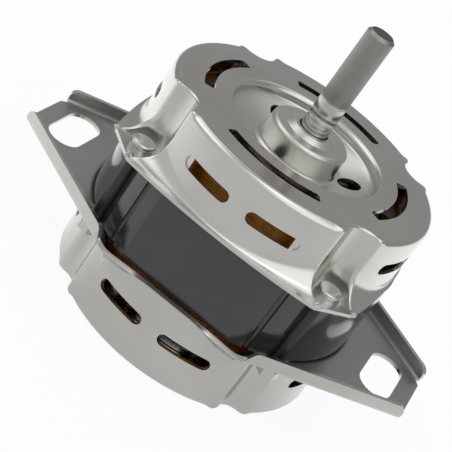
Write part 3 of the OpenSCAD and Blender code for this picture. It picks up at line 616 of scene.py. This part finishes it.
# In the middle of the front and back the wall leans in to the straight edge
def lowerLean(points, depth, k):
    if k % 2 == 1:
        return points
    angle = np.arctan2(points[..., 1], points[..., 0])
    radius, sweep, _ = lowerFlare(angle, k)
    excess = np.where(angle < cornerAngle, frontReach(angle) - radius * (1 - np.cos(sweep)), 0)
    leanTo = lower["plateTop"] - lower["leanShort"]
    share = ease((depth - lower["leanFrom"]) / (leanTo - lower["leanFrom"]))
    scale = 1 + np.minimum(excess, 0) * share / np.linalg.norm(points, axis=-1)
    return points * scale[..., None]


# Folds what lies beyond the ear's bend line upwards round the bend
def foldUp(points, z):
    s = lower
    beyond = points @ earOut - bendLine
    angle = np.clip(beyond / s["bendRadius"], 0, math.pi / 2)
    straight = np.maximum(beyond - s["bendRadius"] * math.pi / 2, 0)
    moved = np.where(beyond > 0, s["bendRadius"] * np.sin(angle) - beyond, 0)
    rise = np.where(beyond > 0, s["bendRadius"] * (1 - np.cos(angle)) + straight, 0)
    return points + moved[..., None] * earOut, z + rise


# The ear's flange in the flat state, in rows from the bend line outwards. An arc ends it at its root and at
# its tip. first is where the cup's rim meets the bend line.
def earFlange(first):
    s = lower
    root, tip, bend = s["flangeRoot"], s["flangeTip"], s["bendRadius"]
    length = (s["earEnd"] - s["earRoot"]) / math.cos(earSlope)

    def arcHeight(radius, into):
        return s["flangeHeight"] - radius + np.sqrt(np.maximum(radius ** 2 - np.maximum(into, 0) ** 2, 0))

    grow = np.concatenate([steps(0, root, 10)[2:], steps(root, length - tip, 24)[1:],
                           length - tip + tip * np.sin(steps(0, math.pi / 2, 6)[1:])])
    run = np.concatenate([[0.0, first], grow[grow > first + s["closest"]]])
    height = np.minimum(arcHeight(root, root - run), arcHeight(tip, run - (length - tip)))
    total = bend * np.arccos(np.clip(1 - height / bend, 0, 1)) + np.maximum(height - bend, 0)
    beginning = np.zeros(len(run))
    beginning[0] = bend
    rows = np.concatenate([steps(0, 0.5, 7), steps(0.5, 1, 4)[1:]])[:, None]
    beyond = beginning * (1 - rows) + total * rows
    base = earCorner - earOut * bend
    return base + run[:, None] * earAlong + beyond[..., None] * earOut


# The flat part of the plate in one quadrant: its outline runs along the cup, the ear's slot, the ear's end
# and the bend line, and the bolt's hole is its second loop
def plateLoops(front, side, bendStart):
    s = lower
    half, length = s["earSlotHalf"]
    arc = steps(0, math.pi / 2, 10)
    across, down = half * np.cos(arc), half * np.sin(arc)
    slotLine = np.concatenate([
        [(s["earSlot"] - half, 0)],
        np.stack([s["earSlot"] - across, half - length - down], -1),
        np.stack([s["earSlot"] + down[1:], half - length - across[1:]], -1),
        [(s["earSlot"] + half, 0)]])
    outline = np.concatenate([
        front[1:], side[1:], slotLine, [(s["earEnd"], 0)],
        [(s["earEnd"], y) for y in steps(0, bendStart[-1, 1], 6)[1:-1]], bendStart[::-1][:-1]])
    hole = polar(s["boltHole"], -turn * np.arange(20) / 20)
    return [outline, alongDir * (1, -1) * boltCircle + hole]


# Folds the cup's own rim with the ears where it lies beyond their bend lines
def foldRim(body, plate):
    for points in body.points:
        sign = np.where(points[:, :2] < 0, -1.0, 1.0) * (1, -1)
        p, z = foldUp(points[:, :2] * sign, points[:, 2])
        high = points[:, 2] > plate - lower["foldDepth"]
        points[:, :2] = np.where(high[:, None], p * sign, points[:, :2])
        points[:, 2] = np.where(high, z, points[:, 2])


# The lower cup and its ear plate, one sheet. The plate is worked out flat in one quadrant, folded along
# its bend line and mirrored.
def buildLowerShield():
    s, skin, body = lower, Skin(), Skin()
    fixed = np.append(slotColumns(s), [cornerAngle, bendAngle])
    profile = roundedPath(s["dish"], s["dishRadii"], s["dishLongest"])
    rims = cupSurface(body, s, lowerFlare, fixed, profile, None, lean=lowerLean)
    plate = s["plateTop"] - s["sheet"]
    front = rims[0, 1][1][len(fixed) - 2:]
    side = rims[1, -1][1][::-1]
    flange = earFlange((front[1] - earCorner) @ earAlong)
    loops = plateLoops(front, side, flange[0][1:])
    triangles = tessellate_polygon([[Vector((p[0], p[1], 0)) for p in loop] for loop in loops])
    flat = np.concatenate(loops)
    for mx in (1, -1):
        for my in (1, -1):
            p, z = foldUp(flat, np.full(len(flat), plate))
            skin.add(np.column_stack([p * (mx, my), z]), triangles)
            p, z = foldUp(flange, np.full(flange.shape[:2], plate))
            skin.grid(p * (mx, my), z)
    foldRim(body, plate)
    skin.merge(body)
    shield = skin.piece("lowerShield", s["within"])
    thicken(shield, s["sheet"])
    return shield


lowerShield = buildLowerShield()
print("lower shield", len(lowerShield.data.polygons), "faces")


# Shaft and windings
# Profiles of radius and height, with each corner's own rounding
shaftShape = {
    "corners": [(0, 2.6), (4.5, 2.6), (5, 3.1), (5, 11.2), (6, 11.2), (6, 72.85), (5, 72.85), (5, 87),
                (4.8, 87), (4.8, 87.6), (5, 87.6), (5, 95), (4.8, 95), (4.8, 96.2), (5, 96.2), (5, 121.7),
                (3.9, 122.8), (0, 122.8)],
    "radii": [0.06] * 14 + [0.25] * 2, "arcSteps": 3, "longest": 6.0, "columns": 112, "sharpFrom": 38,
}
boltShape = {
    "corners": [(0, 21.3), (1.7, 21.3), (2, 21.7), (2, 58.6), (4.2, 58.6), (4.2, 60.3), (0, 60.5)],
    "radii": (0.1, 0.1, 0.1, 0.15, 0.7), "arcSteps": 4, "longest": 8.0, "columns": 40, "sharpFrom": 40,
}
boltCentres = polar(boltCircle, diagonal + turn / 4 * np.arange(4))


# A surface of revolution: its profile is carried round an upright axis through each of the given centres
def buildTurned(name, s, centres):
    skin = Skin()
    profile = roundedPath(s["corners"], s["radii"], s["longest"], s["arcSteps"])
    angle = turn * np.arange(s["columns"]) / s["columns"]
    for centre in centres:
        skin.grid(polar(profile[:, :1], angle) + centre, profile[:, 1:], close=True)
    piece = skin.piece(name)
    piece.data.set_sharp_from_angle(angle=math.radians(s["sharpFrom"]))
    return piece


# End turns as one unbroken wire that climbs round the axis. Its radius follows the bundle's rounded
# section, with slow waves round the axis that neighbouring turns share.
windings = {
    "wire": 0.27, "pitch": 0.55, "sides": 8, "stepsPerTurn": 72, "radius": 42.5, "bulge": 1.3, "wave": 0.1,
    "taperSteps": 3, "upper": (58.9, 73.2), "lower": (15.2, 25.5),
}


def buildTurns(name, low, high):
    s, skin = windings, Skin()
    count = round((high - low) / s["pitch"])
    t = steps(0, 1, count * s["stepsPerTurn"])[:, None]
    at = turn * count * t
    bulge = s["bulge"] * np.clip(2 * t - 1, -1, 1) ** 6
    waves = np.sin(2 * at + 4 * t) + 0.6 * np.sin(5 * at - 7 * t)
    r = s["radius"] - bulge + s["wave"] * waves
    z = low + (high - low) * t + s["wave"] * np.sin(3 * at + 2 * t)
    fromEnd = np.minimum(t, 1 - t) * count * s["stepsPerTurn"]
    thick = s["wire"] * np.sqrt(np.clip(fromEnd / s["taperSteps"], 0, 1))
    section = turn * np.arange(s["sides"]) / s["sides"]
    skin.grid(polar(r + thick * np.cos(section), at), z + thick * np.sin(section), close=True)
    return skin.piece(name)


turnedShaft = buildTurned("shaftTurned", shaftShape, [(0, 0)])
tieBolts = buildTurned("tieBolts", boltShape, boltCentres)
upperWire = buildTurns("upperWireTurns", *windings["upper"])
lowerWire = buildTurns("lowerWireTurns", *windings["lower"])
print("shaft", len(turnedShaft.data.polygons), "bolts", len(tieBolts.data.polygons))
print("wire", len(upperWire.data.polygons), len(lowerWire.data.polygons))


# Materials
# One output of a node. Arithmetic on it adds Math nodes.
class Wire:
    def __init__(self, maker, socket):
        self.maker, self.socket = maker, socket

    def math(self, operation, *others):
        return self.maker.node("ShaderNodeMath", dict(enumerate((self, *others))), operation=operation)

    def __add__(self, other):
        return self.math("ADD", other)

    def __sub__(self, other):
        return self.math("SUBTRACT", other)

    def __rsub__(self, other):
        return self.maker.node("ShaderNodeMath", {0: other, 1: self}, operation="SUBTRACT")

    def __mul__(self, other):
        return self.math("MULTIPLY", other)

    def __truediv__(self, other):
        return self.math("DIVIDE", other)

    __radd__, __rmul__ = __add__, __mul__


# The node tree of a material or of the world, and the nodes that the finishes share
class Nodes:
    def __init__(self, owner):
        owner.use_nodes = True
        self.tree = owner.node_tree
        self.tree.nodes.clear()

    # Adds a node. Inputs are wires or values, and colours come without their alpha.
    def node(self, kind, inputs, output=0, **settings):
        made = self.tree.nodes.new(kind)
        for key, value in settings.items():
            setattr(made, key, value)
        for key, value in inputs.items():
            socket = made.inputs[key]
            if isinstance(value, Wire):
                self.tree.links.new(value.socket, socket)
            else:
                socket.default_value = (*value, 1) if socket.type == "RGBA" else value
        return Wire(self, made.outputs[output])

    # Links a shader to the tree's end
    def show(self, shader, end="ShaderNodeOutputMaterial"):
        self.tree.links.new(shader.socket, self.tree.nodes.new(end).inputs["Surface"])

    def place(self, scale=(1, 1, 1)):
        spot = self.node("ShaderNodeTexCoord", {}, "Object")
        return self.node("ShaderNodeMapping", {"Vector": spot, "Scale": scale})

    def vector(self, x, y, z):
        return self.node("ShaderNodeCombineXYZ", {0: x, 1: y, 2: z})

    def noise(self, where, scale, detail=2.0, roughness=0.5):
        return self.node("ShaderNodeTexNoise", {"Vector": where, "Scale": scale, "Detail": detail,
                                                "Roughness": roughness})

    # Rises smoothly from 0 at low to 1 at high
    def between(self, value, low, high):
        return self.node("ShaderNodeMapRange", {"Value": value, "From Min": low, "From Max": high},
                         interpolation_type="SMOOTHSTEP")

    # Colour a where share is 0 and colour b where it is 1
    def tint(self, share, a, b):
        return self.node("ShaderNodeMix", {"Factor": share, 6: a, 7: b}, 2, data_type="RGBA")

    def parts(self, vector):
        return [self.node("ShaderNodeSeparateXYZ", {0: vector}, i) for i in range(3)]

    def bump(self, height, strength, distance):
        return self.node("ShaderNodeBump", {"Height": height, "Strength": strength, "Distance": distance})

    # Distance from the shaft's axis in metres, angle round it in turns, and height in metres
    def around(self):
        x, y, z = self.parts(self.place())
        return (x * x + y * y).math("SQRT"), y.math("ARCTAN2", x) * (1 / turn), z


# A Principled material. Its look is a function below that takes the node tree and the look's own values.
# Constants go in by socket name, with an underscore for a space.
def finish(name, look, *values, **constants):
    material = bpy.data.materials.new(name)
    n = Nodes(material)
    inputs = {**constants, **look(n, *values)}
    n.show(n.node("ShaderNodeBsdfPrincipled", {key.replace("_", " "): inputs[key] for key in inputs}))
    return material


# Where a finish changes, in metres: the dish's radius, the distance inside the ear's edge, the distance
# behind the middle plane, and heights
zones = {
    "dish": (0.0255, 0.0285), "earTop": (0.0268, 0.0279), "flangeFoot": (0.0284, 0.0305),
    "flangeSide": (0.0272, 0.0288), "insideBend": (-0.0013, -0.0006), "behind": (0.012, 0.02),
    "polished": (0.0949, 0.0962), "shaftEnd": (0.12274, 0.12279), "boltShelf": (0.0574, 0.0578),
}
# Scale of the finest grain, in cells per metre
grainScale = 2600.0


# Bright zinc on pressed sheet: clouds of two greys, faint drawing marks and a fine grain
def zinc(n, light, dark, gloss, dishGloss=0.0):
    where = n.place()
    radius, _, _ = n.around()
    cloud = n.noise(where, 55.0, 3.0)
    grain = n.noise(where, grainScale)
    drawn = n.noise(n.place((1, 1, 0.12)), 900.0, 3.0, 0.6)
    mixed = n.between(cloud * 0.7 + grain * 0.3, 0.35, 0.65)
    rough = gloss + cloud * 0.05 + grain * 0.04 + drawn * 0.04 - 0.065
    rough = rough + dishGloss * (1 - n.between(radius, *zones["dish"]))
    return {"Base_Color": n.tint(mixed, dark, light), "Roughness": rough,
            "Normal": n.bump(grain * 0.6 + drawn, 0.06, 0.00004)}


# The same zinc with painted shade: a darker colour, and more roughness, where the ears' upper side lies
# between the flanges, and rougher on the inner side of the flanges at the back
def earZinc(n, light, dark, gloss, paintedShade, dullGloss, sideGloss):
    made = zinc(n, light, dark, gloss)
    edge = float(earOut @ earCorner) * mm
    x, y, z = n.parts(n.place())
    outward = x.math("ABSOLUTE") * float(earOut[0]) + y.math("ABSOLUTE") * float(-earOut[1])
    inside = 1 - n.between(outward - edge, *zones["insideBend"])
    above = n.between(z, *zones["earTop"]) * inside * (1 - n.between(z, *zones["flangeFoot"]))
    behind = n.between(z, *zones["flangeSide"]) * inside * n.between(y, *zones["behind"])
    # painted shade: the ears' upper side between the flanges is tinted to a darker colour
    made["Base_Color"] = n.tint(above, made["Base_Color"], paintedShade)
    made["Roughness"] = made["Roughness"] + above * dullGloss + behind * sideGloss
    return made


# Round, turned or ground metal: fine lines across the axis
def turned(n, light, dark, gloss, lines=9000.0):
    radius, _, height = n.around()
    groove = n.noise(n.vector(radius * lines, height * lines, 0.0), 1.0)
    cloud = n.noise(n.place(), 130.0, 3.0)
    return {"Base_Color": n.tint(cloud, dark, light), "Roughness": gloss + groove * 0.1 + cloud * 0.06 - 0.08,
            "Normal": n.bump(groove, 0.1, 0.00003)}


# The shaft: ground with fine lines, polished from the boss to the ring groove, and a darker top end face
def ground(n, light, dark, polished, endColour):
    radius, _, height = n.around()
    groove = n.noise(n.vector(radius * 4000.0, height * 9000.0, 0.0), 1.0)
    cloud = n.noise(n.place((1, 1, 0.5)), 420.0, 3.0)
    bright = 1 - n.between(height, *zones["polished"])
    matte = n.tint(cloud * 0.6 + groove * 0.4, dark, light)
    colour = n.tint(n.between(height, *zones["shaftEnd"]), n.tint(bright, matte, polished), endColour)
    rough = (0.42 + cloud * 0.1) * (1 - bright) + bright * 0.09 + groove * 0.04
    return {"Base_Color": colour, "Roughness": rough, "Normal": n.bump(groove, 0.08, 0.00003)}


# A bolt with a plated head and a dark oiled shank below the shelf that its head stands on
def boltSteel(n, light, dark, shank):
    _, _, height = n.around()
    cloud = n.noise(n.place(), 300.0, 3.0)
    grain = n.noise(n.place(), grainScale)
    above = n.between(height, *zones["boltShelf"])
    return {"Base_Color": n.tint(above, shank, n.tint(cloud, dark, light)), "Metallic": 0.2 + above * 0.8,
            "Roughness": 0.3 - above * 0.08 + grain * 0.06, "Normal": n.bump(grain, 0.05, 0.00003)}


# Laminations: thin sheets one on another, under a glossy dark varnish that runs a little
def laminations(n, light, dark, gloss, sheet=0.0005):
    _, _, height = n.around()
    step = (height * (1 / sheet)).math("FRACT")
    seam = n.between(step, 0.0, 0.22) * (1 - n.between(step, 0.8, 1.0))
    cloud = n.noise(n.place((1, 1, 0.3)), 90.0, 3.0)
    grain = n.noise(n.place(), 1500.0)
    return {"Base_Color": n.tint(cloud * 0.6 + seam * 0.4, dark, light),
            "Roughness": gloss + cloud * 0.06 + (1 - seam) * 0.06 - 0.03,
            "Normal": n.bump(seam + grain * 0.15, 0.08, 0.00003)}


# Enamelled wire: each turn's own shade along its run, and lacquer gathered between the turns
def wire(n, light, dark, gloss, pitch=0.0007):
    radius, angle, height = n.around()
    strand = n.noise(n.vector(radius * (1 / pitch), angle * 14.0, height * (1 / pitch)), 1.0)
    cloud = n.noise(n.place(), 240.0)
    mixed = n.between(strand * 0.6 + cloud * 0.4, 0.35, 0.65)
    return {"Base_Color": n.tint(mixed, dark, light), "Roughness": gloss + cloud * 0.12 - 0.06,
            "Normal": n.bump(strand, 0.25, 0.0001)}


# Thin board or film, with fibres
def board(n, light, dark, gloss, fibre=1400.0):
    fibres = n.noise(n.place((1, 1, 0.2)), fibre, 3.0, 0.6)
    cloud = n.noise(n.place(), 90.0)
    return {"Base_Color": n.tint(fibres * 0.5 + cloud * 0.5, dark, light), "Roughness": gloss + fibres * 0.1,
            "Normal": n.bump(fibres, 0.2, 0.00005)}


# Woven tape: threads along and across, at the given pitch. The angle counts at the windings' radius.
def tape(n, light, dark, gloss, pitch=0.0004, bundle=0.036):
    radius, angle, height = n.around()
    across, upright, along = ((part * (turn / pitch)).math("SINE")
                              for part in (radius, height, angle * (turn * bundle)))
    weave = n.between(across * upright + along * 0.6, -1.0, 1.0)
    return {"Base_Color": n.tint(weave, dark, light), "Roughness": gloss,
            "Normal": n.bump(weave, 0.4, 0.00008)}


# Cast metal: a slightly lumpy skin with a fine grain
def cast(n, light, dark, gloss):
    lumps = n.noise(n.place(), 420.0, 3.0)
    grain = n.noise(n.place(), 3500.0)
    return {"Base_Color": n.tint(lumps, dark, light), "Roughness": gloss + grain * 0.12 - 0.06,
            "Normal": n.bump(lumps + grain * 0.4, 0.25, 0.0001)}


def grey(level):
    return (level, level, level)


platedSteel = ((0.66, 0.66, 0.65), (0.58, 0.58, 0.57))
finishes = {
    "upper_shield_steel": finish(
        "upperZinc", zinc, (0.665, 0.66, 0.628), (0.615, 0.61, 0.58), 0.2, 0.1, Metallic=1.0),
    # the lower zinc's third colour is painted shade for the ears' upper side
    "lower_shield_steel": finish(
        "lowerZinc", earZinc, (0.635, 0.63, 0.597), (0.585, 0.58, 0.548), 0.18,
        (0.4, 0.405, 0.392), 0.14, 0.36, Metallic=1.0),
    "stack_steel": finish(
        "stackVarnish", laminations, grey(0.036), grey(0.022), 0.16,
        Metallic=0.0, Coat_Weight=0.6, Coat_Roughness=0.06, IOR=1.55),
    "rotor_steel": finish(
        "rotorLaminations", laminations, (0.12, 0.12, 0.125), (0.07, 0.07, 0.075), 0.4, Metallic=0.6),
    "enamelled_copper": finish(
        "enamelledCopper", wire, (0.64, 0.25, 0.008), (0.36, 0.135, 0.005), 0.28,
        Metallic=0.2, Coat_Weight=0.5, Coat_Roughness=0.12),
    "coil_varnish": finish("coilVarnish", wire, (0.1, 0.062, 0.04), (0.055, 0.038, 0.028), 0.34),
    "insulation_paper": finish("varnishedPaper", board, (0.085, 0.055, 0.036), (0.05, 0.034, 0.025), 0.45),
    "slot_wedge": finish("glassLaminate", board, (0.64, 0.52, 0.31), (0.55, 0.43, 0.24), 0.5),
    "tie_tape": finish("varnishedTape", tape, (0.09, 0.055, 0.03), (0.045, 0.03, 0.02), 0.5),
    "protector_case": finish("mouldedCase", board, (0.06, 0.06, 0.065), (0.04, 0.04, 0.045), 0.45, 2400.0),
    "cast_aluminium": finish(
        "castAluminium", cast, (0.74, 0.75, 0.76), (0.62, 0.63, 0.64), 0.38, Metallic=1.0),
    "shaft_steel": finish(
        "groundSteel", ground, (0.4, 0.39, 0.365), (0.27, 0.26, 0.245), (0.54, 0.53, 0.51),
        (0.13, 0.13, 0.125), Metallic=1.0),
    "bearing_steel": finish("bearingSteel", turned, (0.78, 0.78, 0.79), (0.7, 0.7, 0.71), 0.16, Metallic=1.0),
    "ball_cage_brass": finish("cageBrass", turned, (0.72, 0.54, 0.24), (0.6, 0.43, 0.17), 0.28, Metallic=1.0),
    "spring_steel": finish("springStrip", turned, (0.42, 0.44, 0.5), (0.33, 0.35, 0.42), 0.3, Metallic=1.0),
    "fastener_steel": finish("fastenerZinc", boltSteel, *platedSteel, grey(0.03)),
    "nut_steel": finish("nutZinc", turned, *platedSteel, 0.22, Metallic=1.0),
    "grommet_rubber": finish("grommetRubber", board, grey(0.035), grey(0.022), 0.6, 2000.0),
}


# Gives an object the finish of its slot
def dress(obj, slot):
    obj.data.materials.clear()
    obj.data.materials.append(finishes[slot])
    return obj


# The CAD nodes that stay keep their meshes and get their finishes here
dressed = {
    "stack_steel": ["stator_core"],
    "rotor_steel": ["rotor_core"],
    "coil_varnish": ["main_winding", "auxiliary_winding"],
    "insulation_paper": ["slot_liners", "phase_insulation"],
    "slot_wedge": ["slot_wedges"],
    "tie_tape": ["winding_ties"],
    "protector_case": ["thermal_protector"],
    "cast_aluminium": ["rotor_cage"],
    "bearing_steel": [f"{end}_bearing_{part}" for end in ("upper", "lower")
                      for part in ("outer_ring", "inner_ring", "balls", "shields")],
    "ball_cage_brass": ["upper_bearing_cage", "lower_bearing_cage"],
    "spring_steel": ["preload_spring"],
    "nut_steel": ["tie_bolt_washers", "lock_washers", "tie_bolt_nuts"],
    "grommet_rubber": ["lead_grommet"],
}
for slot, names in dressed.items():
    for name in names:
        dress(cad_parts[name], slot)
print("materials made")

for piece, slot, node, body in ((upperShield, "upper_shield_steel", "upper_end_shield", "housing"),
                                (lowerShield, "lower_shield_steel", "lower_end_shield", "housing"),
                                (turnedShaft, "shaft_steel", "shaft", "rotor"),
                                (tieBolts, "fastener_steel", "tie_bolts", "housing"),
                                (upperWire, "enamelled_copper", "upper_turns", "housing"),
                                (lowerWire, "enamelled_copper", "lower_turns", "housing")):
    dress(piece, slot)
    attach(piece, body)
    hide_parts(node)


# Floor and world
# What mirrors the floor sees it as a tent's own floor: brighter behind the motor and to its left
studio = {
    "floorSize": 6.0, "floorDrop": 0.02, "floorWhite": 0.8, "seenShare": 0.9, "seenLevel": 1.02,
    "glossyShare": 0.9, "front": 0.65, "back": 0.5, "left": 0.2,
}

# Soft lights of the studio, as discs on the sky: azimuth from the back to the right, elevation, inner and
# outer angle of the soft edge in degrees, and level
softLights = [
    (-84, 48, 14, 27, 1.05),
    (-29, 46, 6, 15, 0.95),
    (130, 46, 20, 36, 0.6),
    (50, 76, 6, 18, 0.8),
    (12, 50, 4, 16, 0.4),
    (165, 83, 5, 15, 1.1),
]
skyLevel = {"back": 0.33, "front": 0.31, "top": 0.1}


# A pale floor that shows as the white background, and keeps a soft shadow under the motor
def addFloor():
    skin = Skin()
    line = steps(-studio["floorSize"] / 2, studio["floorSize"] / 2, 8) / mm
    skin.grid(np.stack(np.meshgrid(line, line), -1), -studio["floorDrop"])
    floor = skin.piece("floor")
    if floor.data.polygons[0].normal.z < 0:
        floor.data.flip_normals()
    material = bpy.data.materials.new("paleFloor")
    n = Nodes(material)
    camera, glossy, through = (n.node("ShaderNodeLightPath", {}, name) for name in
                               ("Is Camera Ray", "Is Glossy Ray", "Is Transmission Ray"))
    x, y, _ = n.parts(n.place())
    away = (x * x + y * y + 0.0001).math("SQRT")
    mirrored = studio["front"] + studio["back"] * n.between(y / away, -0.75, 0.7)
    mirrored = mirrored + studio["left"] * n.between(x / away, -0.5, -0.95)
    strength = camera * studio["seenLevel"] + (1 - camera) * mirrored
    share = camera * studio["seenShare"] + (glossy + through) * studio["glossyShare"]
    plain = n.node("ShaderNodeBsdfDiffuse", {"Color": (studio["floorWhite"],) * 3})
    white = n.node("ShaderNodeEmission", {"Color": (1, 1, 1), "Strength": strength})
    n.show(n.node("ShaderNodeMixShader", {0: share, 1: plain, 2: white}))
    floor.data.materials.append(material)


# The world is white to the camera. Other rays see a dim studio with the soft lights.
def addWorld():
    world = bpy.data.worlds.new("studio")
    bpy.context.scene.world = world
    n = Nodes(world)
    toward = n.node("ShaderNodeTexCoord", {}, "Generated")
    _, y, z = n.parts(toward)
    level = skyLevel["back"] + skyLevel["front"] * n.between(y, 0.3, -0.5)
    level = level + skyLevel["top"] * n.between(z, 0.6, 1.0)
    for azimuth, elevation, inner, outer, strength in softLights:
        az, el = math.radians(azimuth), math.radians(elevation)
        centre = (math.sin(az) * math.cos(el), math.cos(az) * math.cos(el), math.sin(el))
        near = n.node("ShaderNodeVectorMath", {0: toward, 1: centre}, "Value", operation="DOT_PRODUCT")
        edge = (math.cos(math.radians(outer)), math.cos(math.radians(inner)))
        level = level + strength * n.between(near, *edge)
    camera = n.node("ShaderNodeLightPath", {}, "Is Camera Ray")
    strength = camera + (1 - camera) * level
    background = n.node("ShaderNodeBackground", {"Color": (1, 1, 1), "Strength": strength})
    n.show(background, "ShaderNodeOutputWorld")


addFloor()
addWorld()
print("studio set")
